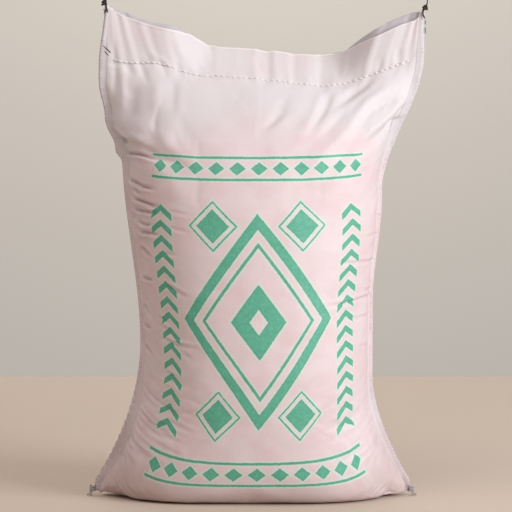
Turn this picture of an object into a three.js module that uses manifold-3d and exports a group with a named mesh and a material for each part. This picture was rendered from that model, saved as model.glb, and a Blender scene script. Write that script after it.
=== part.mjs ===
// A full sack of rice standing upright: a woven pillow sack, sewn shut below its top hem, with an
// overlocked seam down each side and a knot of thread at each corner.
// Millimetres, +Z up, the printed front faces -Y, and the sack stands on the plane z = 0.
import * as THREE from "three";
import { mergeVertices } from "three/addons/utils/BufferGeometryUtils.js";
import Module from "manifold-3d";

const wasm = await Module();
wasm.setup();

// Heights on the standing sack
const CORNER_LIFT = 5; // foot corners above the floor
const CLOSING_MIDDLE = 419; // closing seam in the middle
const CLOSING_SIDE = 440; // closing seam at the side seams
const LEFT_TOP = 490; // top corners
const RIGHT_TOP = 485;

// Side seams, as distances from the middle of the sack: a seam sweeps out to its foot and moves
// by each bend's amount between two heights
const LEFT_SEAM = {
  waist: 107.5,
  foot: { reach: 57, below: 155, sweep: 1.9 },
  bends: [
    { by: -6, from: 18, to: CORNER_LIFT }, // the tip of the foot turns in
    { by: 18, from: 155, to: 348 }, // chest
    { by: 17, from: 335, to: 380 }, // the notch under the shoulder
    { by: 6, from: 380, to: 415 }, // shoulder
    { by: -6, from: 430, to: LEFT_TOP }, // ear
  ],
};
const RIGHT_SEAM = {
  waist: 119.8,
  foot: { reach: 48, below: 118, sweep: 1.6 },
  bends: [
    { by: -7, from: 18, to: CORNER_LIFT },
    { by: 9, from: 195, to: 300 },
    { by: 42, from: 305, to: 442 },
  ],
};

// Half depth of the belly at heights in the middle of the sack, from the base up
const BASE_DEPTH = 54; // where the cloth leaves the floor
const BELLY = [
  [BASE_DEPTH + 17, 12],
  [82, 50],
  [90, 120],
  [89, 210],
  [80, 295],
  [62, 350],
  [34, 395],
];

// The closing seam runs higher under the left ear and lower under the right one
const SEAM_LIFT = { by: 9, at: -95, width: 26 }; // of the seam alone
const SEAM_DIP = { by: -10, at: 85, width: 58 }; // of the seam and the hem above it

// The two layers of the hem, sewn together at the closing seam
const HEM_LENGTH = 49; // closing seam to the cut edge
const HEM_THICKNESS = 3.2;
const HEM_LEAN = { middle: 48, ears: 6 }; // degrees back from upright
const HEM_BEND = { left: [-74, -38], right: [78, 116] }; // where the lean changes

// Folds in the cloth: a line from one point to another, [x, z], with side by side ridges
const FOLDS = [
  { from: [168, 418], to: [62, 314], depth: 3.6, width: 46, spacing: 27 }, // hangs from the right ear
  { from: [-140, 362], to: [-52, 322], depth: 5, width: 17, spacing: 38 }, // under the left shoulder
  { from: [-86, 418], to: [-98, 340], depth: 3, width: 18, spacing: 36 }, // below the closing seam
];

// Where the folds fade in and out, as shares of their length
const FOLD_FADE = { start: [-0.25, 0.15], end: [1.15, 0.55] };

// How the section changes from the base up; "until" and "from" are shares of the way up
const SECTION = {
  square: { base: 5, belly: 2, until: 0.3 }, // the base is squarer than the belly
  climb: { base: 8, belly: 2.5, until: 0.25 }, // the base stays down until near the seam
  flat: { from: 0.62, taper: 2.4 }, // the round belly thins out to a flat top
  seamTaper: 8, // the cloth thins only close to the seam
  softDepth: [8, 45], // folds grow from nothing to full over this half depth
  course: { from: 0.8, ends: 4 }, // where the course of the closing seam shows
};
const HEM_SHAPE = { toSeam: 0.55, straighten: 6, pullIn: 3 };

// Threads
const STITCH_THREAD = 1.2; // diameter of the closing stitches
const STITCH_CLEAR = { front: 0.2, back: 0.9 }; // more room behind, where the hem leans back
const STITCH_INSET = 2; // columns left free at each end, where the edge thread passes
const EDGE_THREAD = 2.4; // overlocking along a side seam
const EDGE_BARE = { foot: 1.5, top: 0.2 }; // rows left bare at the ends of the seam
const THREAD_GAP = 0.45;
const THREAD_SIDES = 6;
const KNOT = { radius: 1.9, thread: 1.7, tail: 1.3, clear: 4.3, lift: 1, windings: [2, 3] };
const TOP_TAIL = [[3.2, 0, 3], [2.6, -0.5, 6], [4, 0, 10]]; // from the middle of the knot
const FOOT_TAIL = [[4.2, -1.2, 0.4], [5.6, -2.5, 0], [6.4, -4, 0.3]];

// How finely the shapes are cut
const COLUMNS = 36;
const BODY_ROWS = 48;
const HEM_ROWS = 5;
const SEAM_SAMPLES = 200;
const BELLY_SAMPLES = 400;
const EDGE_STEPS = 44;
const KNOT_STEPS = 36;
const TAIL_STEPS = 8;
const BASE_PRESS = 1.2; // the belly of the base, pressed flat by the floor

const mix = (a, b, f) => a + (b - a) * f;
const smoothStep = (low, high, x) => {
  const f = Math.min(1, Math.max(0, (x - low) / (high - low)));
  return f * f * (3 - 2 * f);
};

function seamReach({ waist, foot, bends }, z) {
  const sweep = foot.reach * Math.max(0, 1 - z / foot.below) ** foot.sweep;
  return bends.reduce((reach, { by, from, to }) => reach + by * smoothStep(from, to, z), waist + sweep);
}

// A finely sampled curve, read back by the share of its length
function byLength(points) {
  const lengths = [0];
  for (let i = 1; i < points.length; i++) {
    lengths.push(lengths[i - 1] + points[i].distanceTo(points[i - 1]));
  }
  return (share) => {
    const target = share * lengths[lengths.length - 1];
    let i = 1;
    while (i < lengths.length - 1 && lengths[i] < target) i++;
    const f = (target - lengths[i - 1]) / (lengths[i] - lengths[i - 1]);
    return points[i - 1].clone().lerp(points[i], Math.min(1, f));
  };
}

function seamCurve(seam, sign, low, high) {
  const points = [];
  for (let i = 0; i <= SEAM_SAMPLES; i++) {
    const z = mix(low, high, i / SEAM_SAMPLES);
    points.push(new THREE.Vector2(sign * seamReach(seam, z), z));
  }
  return byLength(points);
}

const bodySeams = [
  seamCurve(LEFT_SEAM, -1, CORNER_LIFT, CLOSING_SIDE),
  seamCurve(RIGHT_SEAM, 1, CORNER_LIFT, CLOSING_SIDE),
];
const earSeams = [
  seamCurve(LEFT_SEAM, -1, CLOSING_SIDE, LEFT_TOP),
  seamCurve(RIGHT_SEAM, 1, CLOSING_SIDE, RIGHT_TOP),
];

// Middle of the front from the bottom seam to the closing seam, as depth and height
const bellyCurve = byLength(
  new THREE.SplineCurve(
    [[0, 0], [BASE_DEPTH * 0.55, 0], [BASE_DEPTH, 0.5], ...BELLY, [HEM_THICKNESS / 2, CLOSING_MIDDLE]].map(
      ([depth, z]) => new THREE.Vector2(depth, z),
    ),
  ).getPoints(BELLY_SAMPLES),
);

const bump = ({ by, at, width }, x, spread) =>
  by * Math.exp(-(((x - at) / width) ** 2)) * (1 - spread ** SECTION.course.ends);

// How far folds push the cloth out at a place on the front or the back
function foldRelief(x, z) {
  let relief = 0;
  for (const fold of FOLDS) {
    const from = new THREE.Vector2(...fold.from);
    const line = new THREE.Vector2(...fold.to).sub(from);
    const length = line.length();
    line.divideScalar(length);
    const offset = new THREE.Vector2(x, z).sub(from);
    const along = offset.dot(line) / length;
    const across = offset.cross(line);
    const reach = smoothStep(...FOLD_FADE.start, along) * smoothStep(...FOLD_FADE.end, along);
    const ridges = Math.cos((2 * Math.PI * across) / fold.spacing);
    relief -= fold.depth * reach * ridges * Math.exp(-((across / fold.width) ** 2));
  }
  return relief;
}

// A point of the filled part. Side is -1 for the front and 1 for the back; across runs -1 to 1
// from seam to seam; rise is the share of the way from the bottom seam to the closing seam.
function bodyPoint(side, across, rise) {
  const { square, climb, flat, seamTaper, softDepth, course } = SECTION;
  const [left, right] = bodySeams.map((seam) => seam(rise));
  const middle = bellyCurve(rise);
  const spread = Math.abs(across);
  const flatness = smoothStep(flat.from, 1, rise);
  const xShare = mix(Math.sin((spread * Math.PI) / 2), spread, flatness);
  const squareness = mix(square.base, square.belly, smoothStep(0, square.until, rise));
  const depthShare = mix(Math.sqrt(1 - xShare ** squareness), 1 - spread ** flat.taper, flatness);
  const seam = across < 0 ? left : right;
  const x = mix((left.x + right.x) / 2, seam.x, xShare);
  const steepness = mix(climb.base, climb.belly, smoothStep(0, climb.until, rise));
  const shift = bump(SEAM_LIFT, x, spread) + bump(SEAM_DIP, x, spread);
  const z = mix(middle.y, seam.y, spread ** steepness) + shift * smoothStep(course.from, 1, rise);
  const soft = depthShare * smoothStep(...softDepth, middle.x * depthShare);
  const cloth = (HEM_THICKNESS / 2) * (1 - spread ** seamTaper);
  const full = Math.max(middle.x * depthShare, cloth) + foldRelief(x, z) * soft;
  const depth = rise === 0 || spread === 1 ? 0 : full;
  return new THREE.Vector3(x, side * depth, Math.max(0, z - BASE_PRESS));
}

// A point of the hem; rise is the share of the way from the closing seam to the cut edge
function hemPoint(side, across, rise) {
  const foot = bodyPoint(side, across, 1);
  const spread = Math.abs(across);
  const ear = (across < 0 ? earSeams[0] : earSeams[1])(rise);
  const bend = smoothStep(...HEM_BEND.left, foot.x) * (1 - smoothStep(...HEM_BEND.right, foot.x));
  const fullLean = THREE.MathUtils.degToRad(mix(HEM_LEAN.ears, HEM_LEAN.middle, bend));
  const lean = fullLean * (1 - spread ** HEM_SHAPE.straighten);
  const up = rise * (HEM_LENGTH * Math.cos(lean) - bump(SEAM_LIFT, foot.x, spread));
  const back = rise * HEM_LENGTH * Math.sin(lean);
  const toSeam = smoothStep(HEM_SHAPE.toSeam, 1, spread);
  const pulledIn = mix(foot.x, ear.x, spread ** HEM_SHAPE.pullIn);
  return new THREE.Vector3(
    mix(foot.x, pulledIn, rise),
    foot.y + back,
    mix(foot.z + up, ear.y - BASE_PRESS, toSeam),
  );
}

const clothPoint = (side, across, row) =>
  row <= BODY_ROWS
    ? bodyPoint(side, across, row / BODY_ROWS)
    : hemPoint(side, across, (row - BODY_ROWS) / HEM_ROWS);

// The whole sack as one closed skin: front and back meet at the seams and the cut edge
function sackSkin() {
  const rows = BODY_ROWS + HEM_ROWS;
  const positions = [];
  const index = [];
  for (const side of [-1, 1]) {
    for (let row = 0; row <= rows; row++) {
      for (let column = 0; column <= COLUMNS; column++) {
        positions.push(...clothPoint(side, (2 * column) / COLUMNS - 1, row));
      }
    }
  }
  const front = (row, column) => row * (COLUMNS + 1) + column;
  const back = (row, column) => front(row + rows + 1, column);
  const quad = (a, b, c, d) => index.push(a, b, c, a, c, d);
  for (let column = 0; column < COLUMNS; column++) {
    for (let row = 0; row < rows; row++) {
      quad(front(row, column), front(row, column + 1), front(row + 1, column + 1), front(row + 1, column));
      quad(back(row, column + 1), back(row, column), back(row + 1, column), back(row + 1, column + 1));
    }
    quad(front(rows, column), front(rows, column + 1), back(rows, column + 1), back(rows, column));
  }
  const skin = new THREE.BufferGeometry();
  skin.setAttribute("position", new THREE.Float32BufferAttribute(positions, 3));
  skin.setIndex(index);
  return skin;
}

function toSolid(geometry) {
  const bare = geometry.clone();
  for (const name of ["normal", "uv"]) bare.deleteAttribute(name);
  const merged = mergeVertices(bare, 1e-4);
  return new wasm.Manifold(
    new wasm.Mesh({
      numProp: 3,
      vertProperties: new Float32Array(merged.attributes.position.array),
      triVerts: new Uint32Array(merged.index.array),
    }),
  );
}

function fromSolid(solid) {
  const mesh = solid.getMesh();
  const geometry = new THREE.BufferGeometry();
  geometry.setAttribute("position", new THREE.BufferAttribute(mesh.vertProperties, 3));
  geometry.setIndex(new THREE.BufferAttribute(mesh.triVerts, 1));
  geometry.computeVertexNormals();
  return geometry;
}

// A round thread along a list of points
function thread(points, diameter, steps = points.length - 1) {
  const section = new THREE.Shape();
  for (let i = 0; i < THREAD_SIDES; i++) {
    const turn = (2 * Math.PI * i) / THREAD_SIDES;
    const corner = [(diameter / 2) * Math.cos(turn), (diameter / 2) * Math.sin(turn)];
    if (i === 0) section.moveTo(...corner);
    else section.lineTo(...corner);
  }
  const path = new THREE.CatmullRomCurve3(points, false, "centripetal");
  return new THREE.ExtrudeGeometry(section, { steps, bevelEnabled: false, extrudePath: path });
}

// The closing stitches lie along the seam, on the front or on the back
function closingStitch(side) {
  const points = [];
  const clear = THREAD_GAP + (side < 0 ? STITCH_CLEAR.front : STITCH_CLEAR.back);
  for (let column = STITCH_INSET; column <= COLUMNS - STITCH_INSET; column++) {
    const point = bodyPoint(side, (2 * column) / COLUMNS - 1, 1);
    point.y += side * (STITCH_THREAD / 2 + clear);
    points.push(point);
  }
  return thread(points, STITCH_THREAD);
}

// The overlocking runs up the outside of a side seam
function edgeThread(sign) {
  const points = [];
  for (let i = 0; i <= EDGE_STEPS; i++) {
    const row = mix(EDGE_BARE.foot, BODY_ROWS + HEM_ROWS - EDGE_BARE.top, i / EDGE_STEPS);
    points.push(clothPoint(-1, sign, row));
  }
  const curve = new THREE.CatmullRomCurve3(points);
  const moved = points.map((point, i) => {
    const tangent = curve.getTangentAt(i / EDGE_STEPS);
    const outward = new THREE.Vector3(sign * tangent.z, 0, -sign * tangent.x).normalize();
    return point.clone().addScaledVector(outward, EDGE_THREAD / 2 + THREAD_GAP);
  });
  return thread(moved, EDGE_THREAD);
}

// A small knot with its cut tail, beside a corner of the sack
function cornerKnot(center, tailPoints) {
  const { radius, windings } = KNOT;
  const knot = new THREE.TorusKnotGeometry(radius, KNOT.thread / 2, KNOT_STEPS, THREAD_SIDES, ...windings);
  knot.rotateX(Math.PI / 2);
  const outermost = 1.5 * radius; // where the knot's own thread passes, and the tail starts
  const start = [outermost * Math.sign(tailPoints[0][0]), 0, 0];
  const tailPath = [start, ...tailPoints].map((point) => new THREE.Vector3(...point));
  const tail = thread(tailPath, KNOT.tail, TAIL_STEPS);
  return fromSolid(toSolid(knot).add(toSolid(tail))).translate(...center);
}

const material = (color, roughness) => new THREE.MeshStandardMaterial({ color, roughness, metalness: 0 });
const wovenCloth = material(0xdcc6c8, 0.75);
const whiteThread = material(0xe9e2dc, 0.8);
const blackThread = material(0x2b2523, 0.7);
const greyThread = material(0xb9b2b4, 0.8);

const sack = new THREE.Group();
function add(name, geometry, finish) {
  const mesh = new THREE.Mesh(geometry, finish);
  mesh.name = name;
  sack.add(mesh);
}

add("sack", fromSolid(toSolid(sackSkin())), wovenCloth);
add("closing_stitch_front", closingStitch(-1), whiteThread);
add("closing_stitch_back", closingStitch(1), whiteThread);
add("edge_thread_left", edgeThread(-1), whiteThread);
add("edge_thread_right", edgeThread(1), whiteThread);

// A knot just off each corner of the cloth: above the top corners, and outside the feet
for (const [sign, name] of [[-1, "left"], [1, "right"]]) {
  const top = clothPoint(-1, sign, BODY_ROWS + HEM_ROWS);
  add(`knot_top_${name}`, cornerKnot([top.x, top.y, top.z + KNOT.clear], TOP_TAIL), blackThread);
  const foot = clothPoint(-1, sign, 0);
  const outTail = FOOT_TAIL.map(([x, y, z]) => [sign * x, y, z]);
  const beside = [foot.x + sign * KNOT.clear, 0, foot.z + KNOT.lift];
  add(`knot_foot_${name}`, cornerKnot(beside, outTail), greyThread);
}

// The middle of the whole, seen from above, is the origin
const box = new THREE.Box3().setFromObject(sack);
const middle = box.getCenter(new THREE.Vector3());
sack.position.set(-middle.x, -middle.y, 0);

export default sack;
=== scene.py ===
# Looks of a full sack of rice: woven cloth, sewn shut below its hem, with overlocked side seams
import bpy
import math
import numpy as np
from mathutils import Matrix, Vector, kdtree


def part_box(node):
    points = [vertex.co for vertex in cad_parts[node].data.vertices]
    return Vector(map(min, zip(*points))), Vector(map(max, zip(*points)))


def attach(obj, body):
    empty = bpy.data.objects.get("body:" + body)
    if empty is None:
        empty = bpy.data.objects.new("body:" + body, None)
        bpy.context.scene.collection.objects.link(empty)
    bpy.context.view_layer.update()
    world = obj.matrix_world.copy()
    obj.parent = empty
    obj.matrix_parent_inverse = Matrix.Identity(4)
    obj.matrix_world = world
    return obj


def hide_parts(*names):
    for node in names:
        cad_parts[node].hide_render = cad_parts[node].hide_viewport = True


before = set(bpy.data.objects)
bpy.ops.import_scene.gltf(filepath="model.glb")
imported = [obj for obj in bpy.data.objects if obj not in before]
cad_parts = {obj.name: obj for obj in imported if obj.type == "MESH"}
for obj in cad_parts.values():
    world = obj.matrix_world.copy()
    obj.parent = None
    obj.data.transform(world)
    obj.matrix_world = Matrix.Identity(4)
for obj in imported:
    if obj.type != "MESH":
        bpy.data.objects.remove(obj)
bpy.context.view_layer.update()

scene = bpy.context.scene
millimetre = 0.001
frontSide, backSide = -1, 1

# The form of the solids, in millimetres
form = {
    "cornerLift": 5,  # foot corners above the floor
    "closingMiddle": 419,  # closing seam in the middle
    "closingSide": 440,  # closing seam at the side seams
    "baseDepth": 54,  # where the cloth leaves the floor
    "basePress": 1.2,  # the belly of the base, pressed flat by the floor
    "belly": [(71, 12), (82, 50), (90, 120), (89, 210), (80, 295), (62, 350), (34, 395)],
    "thickness": 3.2,  # both layers of the hem
    "hemLength": 49,
    "seamLift": (9, -95, 26),  # of the closing seam alone: by how much, where, how wide
    "seamDip": (-10, 85, 58),  # of the closing seam and the hem above it
    "leanMiddle": 48,  # degrees that the hem leans back
    "leanEars": 6,
    "bendLeft": (-74, -38),  # where the lean changes
    "bendRight": (78, 116),
}
leftSeam = {
    "sign": -1,
    "top": 490,
    "waist": 107.5,
    "foot": (57, 155, 1.9),  # reach, up to where, sweep
    "bends": [(-6, 18, 5), (18, 155, 348), (17, 335, 380), (6, 380, 415), (-6, 430, 490)],
}
rightSeam = {
    "sign": 1,
    "top": 485,
    "waist": 119.8,
    "foot": (48, 118, 1.6),
    "bends": [(-7, 18, 5), (9, 195, 300), (42, 305, 442)],
}
# How the section changes, in shares of the way from the bottom seam to the closing seam
section = {
    "square": (5, 2, 0.3),  # at the base, at the belly, and from where on
    "climb": (8, 2.5, 0.25),  # the base stays down until near the side seam
    "flatFrom": 0.62,  # the round belly thins out to a flat top
    "flatTaper": 2.4,
    "seamTaper": 8,
    "softDepth": (8, 45),  # folds grow from nothing to full over this half depth
    "courseFrom": 0.8,  # where the course of the closing seam shows
    "courseEnds": 4,
}
bigFolds = [
    {"start": (168, 418), "end": (62, 314), "depth": 3.6, "width": 46, "spacing": 27},
    {"start": (-140, 362), "end": (-52, 322), "depth": 5, "width": 17, "spacing": 38},
    {"start": (-86, 418), "end": (-98, 340), "depth": 3, "width": 18, "spacing": 36},
]
foldFade = {"start": (-0.25, 0.15), "end": (1.15, 0.55)}  # in shares of a fold's length

# The mesh of the cloth, counted in cells, and its flat size
cloth = {
    "columns": 140,
    "bodyRows": 296,
    "hemRows": 20,
    "pocketRows": 5,
    "flatWidth": 326,
    "flatHeight": 521,
    "finThickness": 1.3,
    "ply": 1.2,
    "finPlaces": (2.5, 4),  # of the fin's two columns, outside the side seam
    "innerRowStep": 3,
    "backPlaces": 1000,  # added to the back's places across, to tell it from the front
}


def smoothStep(low, high, x):
    share = np.clip((x - low) / (high - low), 0, 1)
    return share * share * (3 - 2 * share)


def mix(a, b, share):
    return a + (b - a) * share


def hill(x, middle, width):
    return np.exp(-(((x - middle) / width) ** 2))


def unit(vectors):
    return vectors / np.maximum(np.linalg.norm(vectors, axis=-1, keepdims=True), 1e-9)


def lengthsAlong(points):
    steps = np.linalg.norm(np.diff(points, axis=0), axis=1)
    return np.concatenate([[0], np.cumsum(steps)])


def pointsAt(at, lengths, points):
    return np.stack([np.interp(at, lengths, values) for values in points.T], -1)


def seamReach(seam, z):
    reach, below, sweep = seam["foot"]
    total = seam["waist"] + reach * np.maximum(0, 1 - z / below) ** sweep
    for by, low, high in seam["bends"]:
        total = total + by * smoothStep(low, high, z)
    return total


def byLength(points):
    lengths = lengthsAlong(points)
    return lambda share: pointsAt(np.asarray(share) * lengths[-1], lengths, points)


def seamCurve(seam, low, high):
    z = np.linspace(low, high, 300)
    return byLength(np.stack([seam["sign"] * seamReach(seam, z), z], -1))


def roundCurve(corners, steps=40):
    inner = np.array(corners, float)
    points = np.vstack([2 * inner[0] - inner[1], inner, 2 * inner[-1] - inner[-2]])
    share = np.linspace(0, 1, steps, endpoint=False)[:, None]
    pieces = []
    for a, b, c, d in zip(points, points[1:], points[2:], points[3:]):
        curve = 2 * b + (c - a) * share + (2 * a - 5 * b + 4 * c - d) * share**2
        pieces.append(0.5 * (curve + (3 * b - 3 * c + d - a) * share**3))
    return np.vstack(pieces + [inner[-1:]])


seams = [leftSeam, rightSeam]
bodySeams = [seamCurve(seam, form["cornerLift"], form["closingSide"]) for seam in seams]
earSeams = [seamCurve(seam, form["closingSide"], seam["top"]) for seam in seams]
bellyStart = [(0, 0), (form["baseDepth"] * 0.55, 0), (form["baseDepth"], 0.5)]
bellyEnd = [(form["thickness"] / 2, form["closingMiddle"])]
bellyCurve = byLength(roundCurve(bellyStart + form["belly"] + bellyEnd))


def alongLine(x, z, start, end):
    # how far along the line from start to end, how far beside it, and the line's length
    length = np.linalg.norm(end - start)
    lineX, lineZ = (end - start) / length
    along = (x - start[0]) * lineX + (z - start[1]) * lineZ
    across = (x - start[0]) * lineZ - (z - start[1]) * lineX
    return along, across, length


def foldRelief(x, z):
    relief = 0
    for fold in bigFolds:
        start, end = np.array(fold["start"], float), np.array(fold["end"], float)
        along, across, length = alongLine(x, z, start, end)
        share = along / length
        reach = smoothStep(*foldFade["start"], share) * smoothStep(*foldFade["end"], share)
        ridges = np.cos(2 * math.pi * across / fold["spacing"])
        relief = relief - fold["depth"] * reach * ridges * hill(across, 0, fold["width"])
    return relief


def bump(course, x, spread):
    height, at, width = form[course]
    return height * hill(x, at, width) * (1 - spread ** section["courseEnds"])


def upTheSack(name, rise):
    base, belly, until = section[name]
    return mix(base, belly, smoothStep(0, until, rise))


def bodyPoints(side, across, rise):
    left, right = [seam(rise) for seam in bodySeams]
    middle = bellyCurve(rise)
    spread = np.abs(across)
    flat = smoothStep(section["flatFrom"], 1, rise)
    xShare = mix(np.sin(spread * math.pi / 2), spread, flat)
    roundShare = np.sqrt(np.maximum(0, 1 - xShare ** upTheSack("square", rise)))
    depthShare = mix(roundShare, 1 - spread ** section["flatTaper"], flat)
    seam = np.where((across < 0)[..., None], left, right)
    x = mix((left[..., 0] + right[..., 0]) / 2, seam[..., 0], xShare)
    course = bump("seamLift", x, spread) + bump("seamDip", x, spread)
    z = mix(middle[..., 1], seam[..., 1], spread ** upTheSack("climb", rise))
    z = z + course * smoothStep(section["courseFrom"], 1, rise)
    soft = depthShare * smoothStep(*section["softDepth"], middle[..., 0] * depthShare)
    layer = form["thickness"] / 2 * (1 - spread ** section["seamTaper"])
    depth = np.maximum(middle[..., 0] * depthShare, layer) + foldRelief(x, z) * soft
    depth = np.where((rise == 0) | (spread == 1), 0, depth)
    return np.stack([x, side * depth, np.maximum(0, z - form["basePress"])], -1)


def panelGrid(columns, rows):
    return np.meshgrid(np.linspace(-1, 1, columns + 1), np.linspace(0, 1, rows + 1))


# Cloth simulation: two flat panels sewn together, filled and stood on the floor
settle = {
    "columns": 100,
    "rows": 168,
    "cutWidth": 328.5,
    "cutHeight": 526,
    "frames": 24,
    "mostMove": 9,  # millimetres
    "moveUpTo": (1, 0.97),  # share of the way up; the closing seam stays where it is
    "seed": 4,
    "puckers": (9.5, 12.5, 17, 26),  # wavelengths along the closing seam
    "puckerDepth": 0.8,
    "puckersFrom": 0.975,  # share of the way up
    "hold": {"sides": 0.12, "closing": 1, "corners": 0.6},
    "quality": 5,
    "mass": 0.002,
    "stiffness": {"tension": 80, "compression": 80, "shear": 6, "bending": 0.002},
    "damping": {"tension": 5, "compression": 5, "shear": 5, "bending": 0.2, "air": 2},
    "pressure": 4.5,
    "gravity": 0.3,
    "groundSize": 3,  # metres
    "groundDrop": 0.0015,
    "groundLayer": 0.001,
    "groundGrip": 20,
}


def closingWave(columns):
    random = np.random.default_rng(settle["seed"] + 3)
    x = np.linspace(-160, 160, columns + 1)
    wave = 0
    for length in settle["puckers"]:
        strength = random.uniform(0.6, 1)
        wave = wave + strength * np.sin(2 * math.pi * x / length + random.uniform(0, 6.28))
    ends = 1 - np.abs(np.linspace(-1, 1, columns + 1)) ** 6
    return settle["puckerDepth"] * wave / len(settle["puckers"]) * ends


def addWave(panels, rows, columns):
    heights = np.arange(rows + 1)[:, None] / rows
    for panel in panels:
        panel[..., 1] += closingWave(columns) * smoothStep(settle["puckersFrom"], 1, heights)


def selectOnly(*pieces):
    bpy.ops.object.select_all(action="DESELECT")
    for piece in pieces:
        piece.select_set(True)
    bpy.context.view_layer.objects.active = pieces[0]


def sheetObject(name, points):
    rows, columns = points.shape[0] - 1, points.shape[1] - 1
    bpy.ops.mesh.primitive_grid_add(x_subdivisions=columns, y_subdivisions=rows, size=1)
    sheet = bpy.context.object
    sheet.name = name
    sheet.data.vertices.foreach_set("co", (points * millimetre).astype(np.float32).ravel())
    sheet.data.update()
    return sheet


def mergeSheet(sheet):
    bpy.context.view_layer.objects.active = sheet
    bpy.ops.object.mode_set(mode="EDIT")
    bpy.ops.mesh.select_all(action="SELECT")
    bpy.ops.mesh.remove_doubles(threshold=1e-6)
    bpy.ops.mesh.normals_make_consistent(inside=False)
    bpy.ops.object.mode_set(mode="OBJECT")


def mergedIndex(sheet, points):
    # which vertex of the merged sheet each point became
    tree = kdtree.KDTree(len(sheet.data.vertices))
    for vertex in sheet.data.vertices:
        tree.insert(vertex.co, vertex.index)
    tree.balance()
    return np.array([tree.find(place)[1] for place in (points * millimetre).reshape(-1, 3)])


def holdEdges(bag, index):
    held = np.zeros(len(bag.data.vertices))
    rows = settle["rows"]
    grid = index.reshape(2 * (rows + 1), -1)
    held[grid[:, [0, -1]]] = settle["hold"]["sides"]
    held[grid[rows : rows + 2]] = settle["hold"]["closing"]
    held[grid[0, [0, -1]]] = settle["hold"]["corners"]
    pins = bag.vertex_groups.new(name="held")
    for vertex in np.nonzero(held)[0]:
        pins.add([int(vertex)], float(held[vertex]), "REPLACE")


def addFlatShape(bag, flat):
    bag.shape_key_add(name="Basis")
    flatKey = bag.shape_key_add(name="flat")
    flatKey.data.foreach_set("co", (flat * millimetre).astype(np.float32).ravel())
    flatKey.value = 0
    return flatKey


def addGround():
    size, drop = settle["groundSize"], settle["groundDrop"]
    bpy.ops.mesh.primitive_plane_add(size=size, location=(0, 0, -drop))
    ground = bpy.context.object
    ground.modifiers.new("Collision", "COLLISION")
    ground.collision.thickness_outer = settle["groundLayer"]
    ground.collision.cloth_friction = settle["groundGrip"]
    return ground


def settlePanels():
    rows, columns = settle["rows"], settle["columns"]
    across, rise = panelGrid(columns, rows)
    front, back = [bodyPoints(side, across, rise) for side in (frontSide, backSide)]
    addWave([front, back], rows, columns)
    start = np.concatenate([front, back[::-1]])
    bag = sheetObject("settling", start)
    mergeSheet(bag)
    index = mergedIndex(bag, start)
    count = len(bag.data.vertices)
    cut = np.stack([across * settle["cutWidth"] / 2, 0 * across, rise * settle["cutHeight"]], -1)
    flat = np.zeros((count, 3))
    flat[index] = np.concatenate([cut, cut[::-1]]).reshape(-1, 3)
    flatKey = addFlatShape(bag, flat)
    holdEdges(bag, index)
    ground = addGround()
    modifier = bag.modifiers.new("Cloth", "CLOTH")
    weave = modifier.settings
    weave.quality, weave.mass = settle["quality"], settle["mass"]
    for kind in ("stiffness", "damping"):
        for way, value in settle[kind].items():
            setattr(weave, f"{way}_{kind}", value)
    weave.use_pressure = True
    weave.uniform_pressure_force = settle["pressure"]
    weave.vertex_group_mass = "held"
    weave.rest_shape_key = flatKey
    weave.effector_weights.gravity = settle["gravity"]
    modifier.collision_settings.distance_min = settle["groundLayer"]
    modifier.point_cache.frame_start = 1
    modifier.point_cache.frame_end = settle["frames"]
    for step in range(1, settle["frames"] + 1):
        scene.frame_set(step)
    settled = bag.evaluated_get(bpy.context.evaluated_depsgraph_get()).to_mesh()
    places = np.zeros(count * 3)
    settled.vertices.foreach_get("co", places)
    move = places.reshape(-1, 3)[index] / millimetre - start.reshape(-1, 3)
    size = np.linalg.norm(move, axis=1, keepdims=True)
    move = move * np.minimum(1, settle["mostMove"] / np.maximum(size, 1e-6))
    move = move.reshape(start.shape)
    for helper in (bag, ground):
        bpy.data.objects.remove(helper)
    scene.frame_set(1)
    print("cloth settled, largest move in mm:", round(float(size.max()), 1))
    return move[: rows + 1], move[: rows : -1]


def resampler(source, target):
    # weights that read evenly spaced samples at other places, along a smooth curve
    places = np.linspace(0, source, target + 1)
    cell = np.minimum(places.astype(int), source - 1)
    f = places - cell
    taps = (
        -0.5 * f + f**2 - 0.5 * f**3,
        1 - 2.5 * f**2 + 1.5 * f**3,
        0.5 * f + 2 * f**2 - 1.5 * f**3,
        -0.5 * f**2 + 0.5 * f**3,
    )
    weights = np.zeros((target + 1, source + 1))
    for offset, tap in zip((-1, 0, 1, 2), taps):
        np.add.at(weights, (np.arange(target + 1), np.clip(cell + offset, 0, source)), tap)
    return weights


def softNoise(u, v, cellU, cellV, seed, size=128):
    table = np.random.default_rng(seed).uniform(-1, 1, (size, size))
    a, b = u / cellU + size / 2, v / cellV + size / 2
    i, j = np.floor(a).astype(int), np.floor(b).astype(int)
    f, g = a - i, b - j
    f, g = f * f * (3 - 2 * f), g * g * (3 - 2 * g)
    pick = lambda di, dj: table[(i + di) % size, (j + dj) % size]
    return mix(mix(pick(0, 0), pick(1, 0), f), mix(pick(0, 1), pick(1, 1), f), g)


def outward(points, side):
    return unit(np.cross(np.gradient(points, axis=1), np.gradient(points, axis=0)) * -side)


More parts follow.
